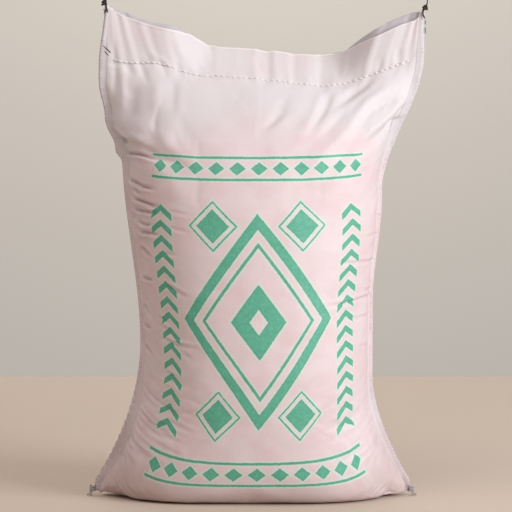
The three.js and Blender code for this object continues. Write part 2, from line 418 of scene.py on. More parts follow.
# Creases as the camera sees them, in millimetres on the plane of the seams: a path, the depth and
# width of its groove, and the height of the ridges on its lower and its upper side, if it has any
seenFrom = {"distance": 1900, "height": 296, "side": 5.6}
creasing = {
    "ridges": ((1.8, 1.1), (-1.5, 0.8)),  # lower and upper: place and spread, in widths of the groove
    "fadeOut": (1, 0.45),  # in shares of the path
    "fadeIn": (0, 0.3),
    "bareEdge": 0.035,
    "heights": (0.1, 0.15),  # of the body, below which there are none
    "backWander": (9, 70, 7),  # on the back: by how much, cell and seed
    "hemFrom": 1.02,
    "hemDeepest": -0.5,  # so that the pocket's fold never shows through
}
pleats = [
    # from the left seam inwards, deepest at the seam
    ([(-137, 362), (-133, 358), (-121, 351)], 7.8, 2.8, 0.0, 1.8),
    ([(-121, 342), (-110, 341), (-85, 334)], 3.9, 1.6, 1.5, 0.3),
    ([(-119, 315), (-108, 309), (-92, 306)], 4.2, 1.7, 1.7, 0.3),
    ([(-115, 306), (-110, 300)], 2.2, 1.5, 0.9, 0.0),
    ([(-114, 296), (-98, 290), (-88, 289)], 4.5, 1.6, 2.0, 0.3),
    ([(-114, 286), (-100, 283), (-92, 281)], 3.9, 1.5, 1.7, 0.2),
    ([(-111, 274), (-107, 271), (-96, 271)], 3.4, 1.4, 1.4, 0.0),
    ([(-109, 264), (-98, 262), (-90, 260)], 4.2, 1.6, 1.8, 0.2),
    ([(-108, 248), (-99, 238)], 2.9, 1.6, 0.7, 1.3),
    ([(-106, 218), (-97, 215)], 3.4, 1.5, 1.1, 0.4),
    ([(-105, 190), (-100, 176)], 2.3, 1.6, 0.6, 1.0),
    ([(-105, 170), (-99, 166)], 2.2, 1.5, 0.9, 0.0),
    ([(-105, 150), (-98, 140)], 2.2, 1.6, 0.7, 0.7),
    # from the right seam inwards
    ([(126, 236), (104, 233), (84, 233)], 1.6, 1.5, 0.9, 0.2),
    ([(124, 208), (112, 205)], 1.8, 1.5, 0.8, 0.4),
    ([(124, 202), (99, 193), (69, 188)], 2.5, 1.6, 1.3, 0.4),
    ([(121, 182), (108, 178), (92, 176)], 1.3, 1.5, 0.7, 0.2),
    ([(121, 152), (106, 149)], 1.2, 1.5, 0.6, 0.2),
    ([(128, 262), (112, 259)], 1.0, 1.5, 0.6, 0.2),
    ([(136, 57), (143, 40), (151, 21)], 2.6, 1.9, 0.0, 1.3),
    # under the right ear
    ([(166, 417), (158, 392), (143, 377)], 2.6, 1.7),
]
creases = [
    # light ridges that run in from the left pleats
    ([(-128, 364), (-105, 353), (-82, 341)], -2.2, 4.4),
    ([(-88, 243), (-70, 240)], 1.1, 1.5, 0.4, 0.3),
    ([(-91, 215), (-75, 206), (-58, 196)], 1.3, 1.7, 0.0, 1.3),
    ([(-94, 181), (-79, 172)], 0.9, 1.5, 0.0, 1.1),
    ([(-92, 172), (-76, 162)], 1.0, 1.6, 0.0, 1.3),
    ([(-92, 160), (-75, 152), (-48, 146)], 1.4, 1.7, 0.0, 1.7),
    ([(-72, 147), (-57, 134)], 0.8, 1.6, 0.2, 0.4),
    ([(-87, 126), (-69, 116)], 0.7, 1.5, 0.0, 1.1),
    ([(-114, 90), (-103, 76), (-92, 66)], 1.1, 1.8, 0.0, 1.7),
    ([(-82, 285), (-58, 280)], 0.7, 1.7, 0.3, 0.2),
    ([(-84, 269), (-58, 262)], 0.8, 1.7, 0.4, 0.2),
    # diagonal folds from the right ear
    ([(127, 420), (100, 401), (72, 379)], 3.4, 4.4, 0.0, 0.8),
    ([(83, 408), (72, 384), (53, 353)], 3.2, 4.6, 0.9, 0.0),
    ([(164, 408), (140, 381), (110, 356), (92, 339)], -3.4, 4.6),
    ([(162, 394), (138, 367), (112, 347), (92, 332)], 3.8, 5.2),
    ([(150, 403), (120, 384), (98, 358)], 2.6, 4.6),
    ([(146, 416), (115, 391), (83, 354)], -2.6, 5.4),
    ([(40, 398), (22, 376), (4, 362)], 1.8, 4.6),
    ([(10, 364), (34, 383), (52, 389)], 0.9, 3.4, 0.3, 0.3),
    # below the closing seam on the left
    ([(-111, 436), (-101, 408)], 1.6, 3.0),
    ([(-89, 436), (-82, 414)], 1.5, 2.6),
    ([(-127, 430), (-113, 420)], 1.3, 3.6),
    ([(-117, 415), (-119, 390), (-122, 368)], 2.0, 7.0),
    ([(-92, 420), (-93, 395), (-96, 370)], -1.8, 6.0),
    ([(-76, 424), (-77, 396), (-80, 370)], 1.6, 5.0),
    ([(-137, 462), (-136, 420), (-138, 378)], 1.2, 2.6),
    ([(-129, 436), (-127, 400), (-128, 376)], -1.2, 3.4),
    # in the hem
    ([(-100, 443), (-85, 432), (-67, 421)], -1.5, 2.8),
    ([(-71, 446), (-67, 429)], 1.5, 4.4),
    ([(-57, 433), (-44, 422)], 1.3, 2.8),
    ([(-57, 464), (-45, 447), (-37, 424)], -1.6, 3.0),
    ([(88, 438), (88, 414)], 1.2, 3.0),
    ([(131, 437), (126, 420)], 1.4, 2.6),
    ([(149, 448), (144, 430)], 1.4, 2.6),
    ([(4, 442), (10, 424)], 0.9, 2.4),
]


def creaseRelief(x, z, table, fadeIn):
    relief = np.zeros_like(x)
    for path, depth, width, *ridges in table:
        path = np.array(path, float)
        total, before = lengthsAlong(path)[-1], 0
        nearest = np.full_like(x, 1e6)
        share, side = np.zeros_like(x), np.ones_like(x)
        for start, end in zip(path, path[1:]):
            along, across, length = alongLine(x, z, start, end)
            reached = np.clip(along, 0, length)
            far = np.hypot(across, along - reached)
            closer = far < nearest
            nearest = np.where(closer, far, nearest)
            share = np.where(closer, (before + reached) / total, share)
            side = np.where(closer, np.sign(across), side)
            before += length
        fade = smoothStep(*creasing["fadeOut"], share)
        if fadeIn:
            fade = fade * smoothStep(*creasing["fadeIn"], share)
        shape = -depth * hill(nearest, 0, width)
        for height, (place, spread) in zip(ridges or (0, 0), creasing["ridges"]):
            shape += height * hill(nearest * side, place * width, spread * width)
        relief += shape * fade
    return relief


# Fine wrinkles: how far from the side seams, the closing seam and the foot corners they reach
wrinkles = {
    "seed": {frontSide: 20, backSide: 60},
    "lumps": [(17, 15, 0.40), (8, 7, 0.16)],  # grains under the cloth: cell and height
    "lumpsUpTo": (0.98, 0.8),
    "side": {"cell": (40, 6.5), "height": 1.2, "reach": 20, "sway": 5, "slant": 0.22},
    "sideZone": ((0.22, 0.34), (0.86, 0.74)),
    "closing": {"cell": (6.5, 30), "height": 1.6, "reach": 9},
    "hanging": {"cell": (21, 90), "height": 1.0, "reach": 45},
    "slack": {"cell": (34, 60), "height": 1.3},
    "slackZone": ((0.74, 0.86), (1, 0.95)),
    "foot": {
        "cell": (3.4, 30),
        "height": {-1: 2.2, 1: 1.2},
        "drop": 5.2,
        "steeper": 4,  # more of a drop near the floor
        "steeperBelow": (45, 10),
        "heights": (135, 81),  # fades out over these
        "reach": (80, 20),
        "ridge": (0.5, 1.6),
    },
    "bareEdge": 0.04,
}


def zoneOf(name, rise):
    grow, fade = wrinkles[name]
    return smoothStep(*grow, rise) * smoothStep(*fade, rise)


def sideWrinkles(u, v, rise, seed):
    edge = wrinkles["side"]
    inside = cloth["flatWidth"] / 2 - np.abs(u)
    sway = v + edge["sway"] * softNoise(u, v, 60, 60, seed) + edge["slant"] * inside
    ripples = softNoise(inside + 300 * (u > 0), sway, *edge["cell"], seed + 1)
    reach = edge["reach"] * (1 + 0.6 * softNoise(u * 0, v, 9, 25, seed + 2))
    return edge["height"] * ripples * np.exp(-inside / reach) * zoneOf("sideZone", rise)


def footStreaks(x, z, seam, seed):
    # streaks that leave a side seam near its foot and bend down to the base
    foot, sign = wrinkles["foot"], seam["sign"]
    inside = np.maximum(seamReach(seam, np.maximum(z, form["cornerLift"])) - sign * x, 0)
    drop = foot["drop"] + foot["steeper"] * smoothStep(*foot["steeperBelow"], z)
    level = z + drop * np.sqrt(inside)
    top, deep = foot["ridge"]
    streaks = top - np.abs(softNoise(level, inside, *foot["cell"], seed + sign)) * deep
    reach = smoothStep(*foot["heights"], z) * smoothStep(*foot["reach"], inside)
    ends = smoothStep(0, 8, z) * smoothStep(3, 9, inside) * (np.sign(x) == sign)
    return foot["height"][sign] * streaks * reach * ends


def wrinkleRelief(points, across, rise, side):
    x, z = points[..., 0], points[..., 2]
    u, v = across * cloth["flatWidth"] / 2, rise * cloth["flatHeight"]
    seed = wrinkles["seed"][side]
    relief = np.zeros_like(x)
    for number, (cellU, cellV, height) in enumerate(wrinkles["lumps"]):
        lumps = softNoise(u, v, cellU, cellV, seed + number)
        relief += height * lumps * smoothStep(*wrinkles["lumpsUpTo"], rise)
    relief += sideWrinkles(u, v, rise, seed + 4)
    below = (1 - rise) * cloth["flatHeight"]
    for number, name in enumerate(("closing", "hanging")):
        gathers = wrinkles[name]
        puckers = softNoise(u + 0.2 * below * np.sign(u), v, *gathers["cell"], seed + 8 + number)
        relief += gathers["height"] * puckers * np.exp(-below / gathers["reach"])
    slack = wrinkles["slack"]
    slackNoise = softNoise(u, v, *slack["cell"], seed + 12)
    relief += slack["height"] * slackNoise * zoneOf("slackZone", rise)
    for seam in seams:
        relief += footStreaks(x, z, seam, seed + 14)
    return relief * smoothStep(0, wrinkles["bareEdge"], 1 - np.abs(across))


# Both panels of the body on the fine grid
columns, bodyRows = cloth["columns"], cloth["bodyRows"]
across, rise = panelGrid(columns, bodyRows)
panels = {side: bodyPoints(side, across, rise) for side in (frontSide, backSide)}
startBox = np.concatenate([panel.reshape(-1, 3) for panel in panels.values()])
addWave(panels.values(), bodyRows, columns)
upRows = resampler(settle["rows"], bodyRows)
upColumns = resampler(settle["columns"], columns)
for side, move in zip((frontSide, backSide), settlePanels()):
    finer = np.einsum("ri,ijk,cj->rck", upRows, move, upColumns)
    panels[side] += finer * smoothStep(*settle["moveUpTo"], rise)[..., None]
for side, panel in panels.items():
    relief = wrinkleRelief(panel, across, rise, side)
    panel += outward(panel, side) * relief[..., None]
    panel[..., 2] = np.maximum(panel[..., 2], 0)
print("body panels shaped")


# The hem, above the closing seam: an outer and an inner face of each layer
hem = {
    # how much shorter the front layer is than the back one, at places across
    "places": [-150, -127, -119, -60, -56, -38, -32, 62, 68, 80, 92, 116, 158, 172],
    "shorter": [0.4, 1.0, 4.4, 4.8, 0.4, 0.4, 3.6, 3.8, 0.4, 1.0, 6.0, 11.0, 10.0, 5.0],
    "rimBulge": 0.5,  # the cut edge of the front layer
    "rimHeight": 2.0,
    "rimSoft": 0.7,
    "rimRise": 0.5,
    "toSeam": 0.55,
    "fineFrom": 0.8,  # rows stand closer together above this share of the hem
    "coarseRows": 12,
    "openRight": 4.5,  # how far the two layers stand apart at the top
    "openLeft": 2,
    "openFrom": (-20, 90),
    "pocket": 0.55,  # the mouth of the hem is open down to this share of it
    "pocketInset": 0.94,
    "leastGap": 0.25,
    "foldDrop": 1.5,
    "waves": [(34, 0.35), (13, 0.12)],  # cell and height
    "waveShare": 0.3,  # of a layer's own waves
    "waveRows": 40,
    "waveCell": 60,
    "seed": {frontSide: 90, backSide: 95},
    "sharedSeed": 88,  # of the waves that both layers follow
    "puckers": {"cell": 6.5, "height": 1.1, "reach": 7, "seed": 84},  # just above the closing seam
}
# shares of the hem's height at which its rows stand
coarseShares = np.linspace(0, hem["fineFrom"], hem["coarseRows"] + 1)[1:]
fineShares = np.linspace(hem["fineFrom"], 1, cloth["hemRows"] - hem["coarseRows"] + 1)[1:]
hemShares = np.concatenate([coarseShares, fineShares])


def hemShift(foot, across, rise):
    spread = np.abs(across)
    x = foot[..., 0]
    ear = np.where((across < 0)[..., None], earSeams[0](rise), earSeams[1](rise))
    bend = smoothStep(*form["bendLeft"], x) * (1 - smoothStep(*form["bendRight"], x))
    lean = np.radians(mix(form["leanEars"], form["leanMiddle"], bend)) * (1 - spread**6)
    up = rise * (form["hemLength"] * np.cos(lean) - bump("seamLift", x, spread))
    back = rise * form["hemLength"] * np.sin(lean)
    newX = mix(x, mix(x, ear[..., 0], spread**3), rise)
    toSeam = smoothStep(hem["toSeam"], 1, spread)
    newZ = mix(foot[..., 2] + up, ear[..., 1] - form["basePress"], toSeam)
    shift = np.stack([newX - x, back, newZ - foot[..., 2]], -1)
    facing = np.stack([0 * lean, -np.cos(lean), np.sin(lean)], -1)
    return shift, facing


def hemNoise(x, riseHem, cell, seed):
    return softNoise(x, riseHem * hem["waveRows"], cell, hem["waveCell"], seed)


def hemWaves(x, riseHem, seed):
    waves = enumerate(hem["waves"])
    return sum(high * hemNoise(x, riseHem, cell, seed + number) for number, (cell, high) in waves)


def hemLayer(side, shares):
    acrossHem, riseHem = np.meshgrid(np.linspace(-1, 1, columns + 1), shares)
    spread = np.abs(acrossHem)
    foot = np.broadcast_to(panels[side][-1], acrossHem.shape + (3,)).copy()
    foot[..., 1] -= closingWave(columns) * smoothStep(0.05, 0.4, riseHem)
    x = foot[..., 0]
    length = np.ones_like(x)
    if side == frontSide:
        shorter = np.interp(x, hem["places"], hem["shorter"]) * smoothStep(1, 0.97, spread)
        length = 1 - shorter / form["hemLength"]
    grown = riseHem * length
    shift, facing = hemShift(foot, acrossHem, grown)
    base, _ = hemShift(foot, acrossHem, grown * 0)
    shift = shift - base * (1 - smoothStep(0, 0.35, riseHem)[..., None])
    mouth = mix(hem["openLeft"], hem["openRight"], smoothStep(*hem["openFrom"], x))
    apart = mouth * riseHem**1.5 * (1 - spread**4) * 0.5
    ends = (1 - spread**8) * smoothStep(0, 0.4, riseHem)
    outerWaves = np.maximum(hemWaves(x, riseHem, hem["seed"][side]), 0)
    out = -side * (apart + hem["waveShare"] * outerWaves * ends)
    if side == frontSide:
        fromTop = (1 - riseHem) * form["hemLength"]
        edge, soft = hem["rimHeight"], hem["rimSoft"]
        rim = smoothStep(edge + soft, edge - soft, fromTop)
        out = out + hem["rimBulge"] * rim * (1 - spread**6)
    gathers = hem["puckers"]
    puckers = hemNoise(x, riseHem, gathers["cell"], gathers["seed"]) * gathers["height"]
    fade = np.exp(-riseHem * form["hemLength"] / gathers["reach"]) * smoothStep(0, 0.06, riseHem)
    out = out + hemWaves(x, riseHem, hem["sharedSeed"]) * ends + puckers * fade
    return foot + shift + facing * out[..., None], facing


def readColumns(sheet, places):
    low = np.minimum(places.astype(int), sheet.shape[1] - 2)
    return mix(sheet[:, low], sheet[:, low + 1], (places - low)[None, :, None])


def hemFaces(side):
    outer, _ = hemLayer(side, hemShares)
    inner, facingIn = hemLayer(side, np.linspace(1, hem["pocket"], cloth["pocketRows"]))
    inset = np.linspace(-hem["pocketInset"], hem["pocketInset"], columns + 1)
    inner = readColumns(inner, (inset + 1) / 2 * columns)
    return outer, inner + facingIn * (side * cloth["ply"])


outerFront, innerFront = hemFaces(frontSide)
outerBack, innerBack = hemFaces(backSide)
# the two inner faces meet along the sides of the pocket and never cross
middle = (innerFront + innerBack) / 2
acrossInner = np.abs(np.linspace(-1, 1, columns + 1))[None, :, None]
gap = innerBack - innerFront
gap[..., 1] = np.maximum(gap[..., 1], hem["leastGap"])
closeSides = smoothStep(1, 0.9, acrossInner)
innerFront = middle - gap / 2 * closeSides
innerBack = middle + gap / 2 * closeSides
rimRise = np.array([0, 0, hem["rimRise"]])
pocketFold = (innerFront[-1:] + innerBack[-1:]) / 2 - np.array([0, 0, hem["foldDrop"]])
rimFront = (outerFront[-1:] + innerFront[:1]) / 2 + rimRise
rimBack = (outerBack[-1:] + innerBack[:1]) / 2 + rimRise


# The side seams stand out as a fin of both layers, with its width at heights up the seam
fins = {
    "left": ([0, 20, 90, 130, 360, 380, 440, 490], [3.0, 3.5, 2.5, 0.8, 0.8, 1.5, 2.0, 2.0]),
    "right": ([0, 20, 60, 320, 374, 379, 430, 490], [2.0, 2.5, 1.2, 1.2, 5.0, 1.0, 2.0, 2.0]),
    "pullFrom": 0.8,  # the cloth is drawn in beside the fin
    "beyond": 2.6,  # how far the overlocked edge stands outside the seam
    "middle": 0.35,  # where the fin is thickest
    "fadeRows": 6,
    "scallop": 7.6,  # between the stitches that draw the edge in
    "scallopDepth": {"left": 1.1, "right": 0.35},
    "scallopWaver": (2, 30, 5),  # by how much, cell and seed
    "scallopBelow": (130, 80),
    "notch": (3.6, 345, 7),  # a pleat that stands out of the left seam: how far, where, how wide
    "waver": {"height": 0.5, "cell": 3.4, "seed": 44},  # of the edge to the front and the back
}


def addFins(outer, side):
    outer = outer.copy()
    endFade = smoothStep(0, fins["fadeRows"], np.arange(outer.shape[0])[:, None])[..., None]
    thick = np.array([0, side * cloth["finThickness"] / 2, 0])
    spread = np.linspace(-1, 1, outer.shape[1])[None, :, None]
    edges, outs, widths = [], [], []
    for column, seam, name in zip((0, -1), seams, ("left", "right")):
        reach = seamReach(seam, outer[:, column, 2] + form["basePress"])
        outer[:, column, 0] = seam["sign"] * (reach + fins["beyond"])
        edge = outer[:, [column]]
        along = np.gradient(edge, axis=0)
        out = np.stack([along[..., 2], 0 * along[..., 2], -along[..., 0]], -1)
        outs.append(unit(out * seam["sign"]))
        widths.append(np.interp(edge[..., 2:], *fins[name]))
        edges.append(edge)
    pull = smoothStep(fins["pullFrom"], 1, np.abs(spread)) * np.where(spread < 0, *widths)
    body = outer - np.where(spread < 0, *outs) * pull
    columnsOut = []
    for column, edge, out, width, name in zip((0, -1), edges, outs, widths, ("left", "right")):
        whole = width + fins["beyond"]
        body[:, [column]] = edge - out * whole + thick * endFade
        z = edge[..., 2:]
        by, cell, seed = fins["scallopWaver"]
        waver = by * softNoise(z, z * 0, cell, 9, seed)
        pulled = 0.5 - 0.5 * np.abs(np.cos(math.pi * z / fins["scallop"] + waver))
        low = smoothStep(*fins["scallopBelow"], z)
        if name == "left":
            by, at, spanned = fins["notch"]
            edge = edge + out * by * hill(z, at, spanned)
        edge = edge - out * pulled * fins["scallopDepth"][name] * low * 2 * endFade
        columnsOut.append([edge, edge - out * whole * fins["middle"] + thick * 0.9 * endFade])
    left, right = columnsOut
    return np.concatenate([*left, body, *right[::-1]], axis=1)


def creaseSheet(sheet, side):
    # the back carries the same creases as the front, seen from its own side and wandering a little
    turned = -side
    x, y, z = sheet[..., 0], sheet[..., 1], sheet[..., 2]
    nearer = seenFrom["distance"] / (seenFrom["distance"] + turned * y)
    seenX = seenFrom["side"] + (x - seenFrom["side"]) * nearer
    seenZ = seenFrom["height"] + (z - seenFrom["height"]) * nearer
    if side == backSide:
        by, cell, seed = creasing["backWander"]
        seenZ = seenZ + by * softNoise(x, z, cell, cell, seed)
    relief = creaseRelief(seenX, seenZ, pleats, False) + creaseRelief(seenX, seenZ, creases, True)
    inside = 1 - np.abs(np.linspace(-1, 1, sheet.shape[1]))
    height = np.arange(sheet.shape[0])[:, None] / bodyRows
    fade = smoothStep(0, creasing["bareEdge"], inside) * smoothStep(*creasing["heights"], height)
    relief = relief * fade
    inHem = height > creasing["hemFrom"]
    relief = np.where(inHem, np.maximum(relief, creasing["hemDeepest"]), relief)
    return sheet + outward(sheet, side) * relief[..., None]


def finishSheet(outer, side):
    return addFins(creaseSheet(np.concatenate([panels[side], outer]), side), side)


finishedFront = finishSheet(outerFront, frontSide)
finishedBack = finishSheet(outerBack, backSide)
# side seams are shared by both layers
for column in (0, -1):
    shared = (finishedFront[:, column] + finishedBack[:, column]) / 2
    z, waver = shared[:, 2], fins["waver"]
    shared[:, 1] += waver["height"] * softNoise(z, z * 0, waver["cell"], 10, waver["seed"] + column)
    finishedFront[:, column] = finishedBack[:, column] = shared
wide = finishedFront.shape[1]
innerParts = (rimFront, innerFront, pocketFold, innerBack[::-1], rimBack)
inside = [readColumns(part, np.linspace(0, part.shape[1] - 1, wide)) for part in innerParts]
for a, b in ((inside[0], inside[4][::-1]), (inside[1], inside[3][::-1])):
    for column in (0, -1):
        a[:, column] = b[:, column] = (a[:, column] + b[:, column]) / 2
sheetPoints = np.concatenate([finishedFront, *inside, finishedBack[::-1]])

# Everything moves with the solids, whose middle is the origin
low, high = [np.array(corner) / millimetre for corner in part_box("sack")]
shift = (low + high) / 2 - (startBox.min(0) + startBox.max(0)) / 2
shift[2] = 0
sheetPoints = sheetPoints + shift
print("cloth of", sheetPoints.shape, "points, shift in mm:", shift.round(2))


def sheetUv(sheet, u, v):
    layer = sheet.data.uv_layers[0]
    layer.name = "cloth"
    corners = np.zeros(len(sheet.data.loops), int)
    sheet.data.loops.foreach_get("vertex_index", corners)
    pairs = np.stack([u.ravel()[corners], v.ravel()[corners]], -1) * millimetre
    layer.data.foreach_set("uv", pairs.astype(np.float32).ravel())


def clothPlaces(total, wideColumns):
    # places on the flat cloth: across from its middle, and up from the bottom seam
    rows = np.arange(total)
    fromBottom = np.minimum(rows, total - 1 - rows)
    bodyV = fromBottom / bodyRows * cloth["flatHeight"]
    hemRow = np.clip(fromBottom - bodyRows, 0, cloth["hemRows"])
    hemShare = np.interp(hemRow, np.arange(cloth["hemRows"] + 1), [0, *hemShares])
    hemV = cloth["flatHeight"] + hemShare * form["hemLength"]
    innerRow = np.maximum(fromBottom - bodyRows - cloth["hemRows"], 0)
    hemV = hemV + innerRow * cloth["innerRowStep"]
    v = np.where(fromBottom <= bodyRows, bodyV, hemV)
    bodyU = np.linspace(-1, 1, wideColumns - 4) * cloth["flatWidth"] / 2
    finU = cloth["flatWidth"] / 2 + np.array(cloth["finPlaces"])
    gridU, gridV = np.meshgrid(np.concatenate([-finU[::-1], bodyU, finU]), v)
    return gridU + np.where(rows[:, None] > total // 2, cloth["backPlaces"], 0), gridV


def makeSack():
    sheet = sheetObject("rice_sack", sheetPoints)
    sheetUv(sheet, *clothPlaces(*sheetPoints.shape[:2]))
    mergeSheet(sheet)
    bpy.ops.object.shade_smooth()
    return sheet


sack = makeSack()
print("sack has", len(sack.data.vertices), "points")


# Threads, in millimetres
threads = {
    "stitch": 5.6,  # one closing stitch and its gap
    "stitchLength": 4.4,
    "stitchRadius": 0.8,
    "stitchProud": 0.75,  # share of the radius that stands out of the cloth
    "stitchInset": 5,  # columns left free at each end
    "stitchMargin": 2,
    "loopSpacing": 3.7,
    "loopRadius": 0.25,
    "loopReach": 1.65,  # half the loop across the edge
    "loopDepth": 0.72,  # half the loop through the two layers
    "loopInside": 1.8,  # its middle from the edge
    "loopSlant": 0.35,
    "loopBare": 2,  # rows left free at the foot
    "loopMargin": 1,
}


def smoothFaces(piece):
    selectOnly(piece)
    bpy.ops.object.shade_smooth()


def joinPieces(parts, name):
    selectOnly(*parts)
    bpy.ops.object.join()
    joined = bpy.context.object
    joined.name = name
    return joined


def copyAlong(pattern, frames, name):
    copies = []
    for place in frames:
        mesh = pattern.data.copy()
        mesh.transform(place)
        copy = bpy.data.objects.new(name, mesh)
        scene.collection.objects.link(copy)
        copies.append(copy)
    bpy.data.objects.remove(pattern)
    joined = joinPieces(copies, name)
    smoothFaces(joined)
    return joined


def applyPlace(piece):
    selectOnly(piece)
    bpy.ops.object.transform_apply(location=True, rotation=True, scale=True)


def oneStitch():
    bpy.ops.mesh.primitive_uv_sphere_add(segments=8, ring_count=7, radius=1)
    stitch = bpy.context.object
    half, radius = threads["stitchLength"] / 2 * millimetre, threads["stitchRadius"] * millimetre
    stitch.scale = (half, radius, radius)
    applyPlace(stitch)
    return stitch


def frameAt(place, along, facing):
    x = Vector(along).normalized()
    z = Vector(facing)
    z = (z - x * z.dot(x)).normalized()
    turn = Matrix((x, z.cross(x), z)).transposed().to_4x4()
    return Matrix.Translation(Vector(place)) @ turn


def evenly(points, spacing, margin):
    lengths = lengthsAlong(points)
    count = int((lengths[-1] - 2 * margin) / spacing)
    at = margin + (np.arange(count) + 0.5) * spacing
    places = pointsAt(at, lengths, points)
    return places, pointsAt(at + spacing / 2, lengths, points) - places


def closingStitches(side, name):
    row = (finishedFront if side == frontSide else finishedBack)[bodyRows] + shift
    inset, proud = threads["stitchInset"], threads["stitchRadius"] * threads["stitchProud"]
    row = row[inset:-inset] + np.array([0, side * proud, 0])
    places, directions = evenly(row, threads["stitch"], threads["stitchMargin"])
    frames = [frameAt(p * millimetre, d, (0, side, 0)) for p, d in zip(places, directions)]
    return copyAlong(oneStitch(), frames, name)


def oneLoop():
    bpy.ops.mesh.primitive_torus_add(
        major_segments=12,
        minor_segments=5,
        major_radius=threads["loopReach"] * millimetre,
        minor_radius=threads["loopRadius"] * millimetre,
    )
    loop = bpy.context.object
    loop.scale = (1, threads["loopDepth"] / threads["loopReach"], 1)
    applyPlace(loop)
    return loop


def edgeLoops(column, name):
    edge = (finishedFront[:, column] + shift)[threads["loopBare"] :]
    sign = seams[column]["sign"]
    slant = Matrix.Rotation(threads["loopSlant"], 4, "X")
    frames = []
    for place, direction in zip(*evenly(edge, threads["loopSpacing"], threads["loopMargin"])):
        out = np.array([direction[2], 0, -direction[0]]) * sign
        out = out / np.linalg.norm(out)
        centre = place - out * threads["loopInside"]
        frames.append(frameAt(centre * millimetre, out, direction) @ slant)
    return copyAlong(oneLoop(), frames, name)


stitchesFront = closingStitches(frontSide, "closing_stitches_front")
stitchesBack = closingStitches(backSide, "closing_stitches_back")
loopsLeft = edgeLoops(0, "overlocking_left")
loopsRight = edgeLoops(-1, "overlocking_right")
print("threads sewn")


# Knots: points beside, in front of and above the corner, mirrored on the right except for the tail
# of a top knot. Tails of a foot knot are given from the floor up.
knots = {
    "top": {
        "radius": 0.75,
        "middle": (0.5, 0, 3.5),
        "coil": (2.1, 3.2, 4.5),  # radius, turns, height
        "tail": [(3.0, -0.4, 8), (2.6, 0, 11), (4.2, 0, 14.5)],
        "loop": [(-1.8, -1.6, -1), (-1, -2.2, -5), (1, -2.2, -8), (-2.6, -2, -4), (-2.2, -1, 0)],
        "thinner": {"tail": 0.8, "loop": 0.6, "mark": 0.45},
    },
    "foot": {
        "radius": 0.95,
        "middle": (1.6, 0, 1.4),
        "coil": (2.2, 3.6, 4.6),
        "tails": [
            (0.75, [(3.8, -1.2, 2.4), (5.2, -2, 1.4), (6.6, -3.4, 1.2)]),
            (0.7, [(2, -2.5, 2.2), (3, -4.4, 1.1), (3.2, -6.5, 1.1)]),
        ],
    },
}
# the thread of the top knots goes on down the edge
edgeMarks = {
    -1: [
        [(-1, -1.5, -3), (0.5, -1.7, -6)],
        [(3, -1.6, -3), (3.5, -1.6, -6.5)],
        [(-2, -0.6, -39), (2, -1.3, -42), (6, -1.9, -46)],
        [(0, -0.9, -45), (4, -1.5, -49)],
    ],
    1: [[(0.9, -0.5, -9), (1.1, -0.6, -13)], [(0.6, -0.6, -16), (1.1, -0.7, -22)]],
}


def threadTube(points, radius):
    bpy.ops.curve.primitive_nurbs_path_add()
    path = bpy.context.object
    path.data.splines.clear()
    spline = path.data.splines.new("NURBS")
    spline.points.add(len(points) - 1)
    for place, point in zip(spline.points, points):
        place.co = (*[value * millimetre for value in point], 1)
    spline.use_endpoint_u = True
    spline.order_u = 3
    path.data.bevel_depth = radius * millimetre
    path.data.bevel_resolution = 2
    path.data.resolution_u = 6
    path.data.use_fill_caps = True
    bpy.ops.object.convert(target="MESH")
    return bpy.context.object


def coil(centre, radius, turns, rise, steps=10):
    points = []
    for step in range(int(turns * steps) + 1):
        angle = 2 * math.pi * step / steps
        uneven = radius + 0.2 * radius * math.sin(angle * 2.3)
        sway = 0.35 * radius * math.sin(angle * 1.5)
        x = centre[0] + uneven * math.cos(angle)
        y = centre[1] + 0.8 * radius * math.sin(angle)
        z = centre[2] + rise * step / (turns * steps) - rise / 2 + sway
        points.append((x, y, z))
    return points


def beside(corner, offsets, sign=1):
    x, y, z = corner
    return [(x + sign * a, y + b, z + c) for a, b, c in offsets]


def finishKnot(parts, name):
    knot = joinPieces(parts, name)
    applyPlace(knot)
    smoothFaces(knot)
    return knot


def topKnot(corner, sign, name):
    knot = knots["top"]
    radius, thinner = knot["radius"], knot["thinner"]
    centre = beside(corner, [knot["middle"]], sign)[0]
    loop = [centre, *beside(corner, knot["loop"], sign), centre]
    parts = [
        threadTube(coil(centre, *knot["coil"]), radius),
        threadTube([centre, *beside(corner, knot["tail"])], radius * thinner["tail"]),
        threadTube(loop, radius * thinner["loop"]),
    ]
    for mark in edgeMarks[sign]:
        parts.append(threadTube(beside(corner, mark), radius * thinner["mark"]))
    return finishKnot(parts, name)


def footKnot(corner, sign, name):
    knot = knots["foot"]
    centre = beside(corner, [knot["middle"]], sign)[0]
    onFloor = (corner[0], corner[1], 0)
    parts = [threadTube(coil(centre, *knot["coil"]), knot["radius"])]
    for thinner, tail in knot["tails"]:
        parts.append(threadTube([centre, *beside(onFloor, tail, sign)], knot["radius"] * thinner))
    return finishKnot(parts, name)


cornerOf = lambda row, column: finishedFront[row, column] + shift
knotPieces = {
    "knot_top_left": topKnot(cornerOf(-1, 0), -1, "corner_knot_top_left"),
    "knot_top_right": topKnot(cornerOf(-1, -1), 1, "corner_knot_top_right"),
    "knot_foot_left": footKnot(cornerOf(0, 0), -1, "corner_knot_foot_left"),
    "knot_foot_right": footKnot(cornerOf(0, -1), 1, "corner_knot_foot_right"),
}
print("knots tied")


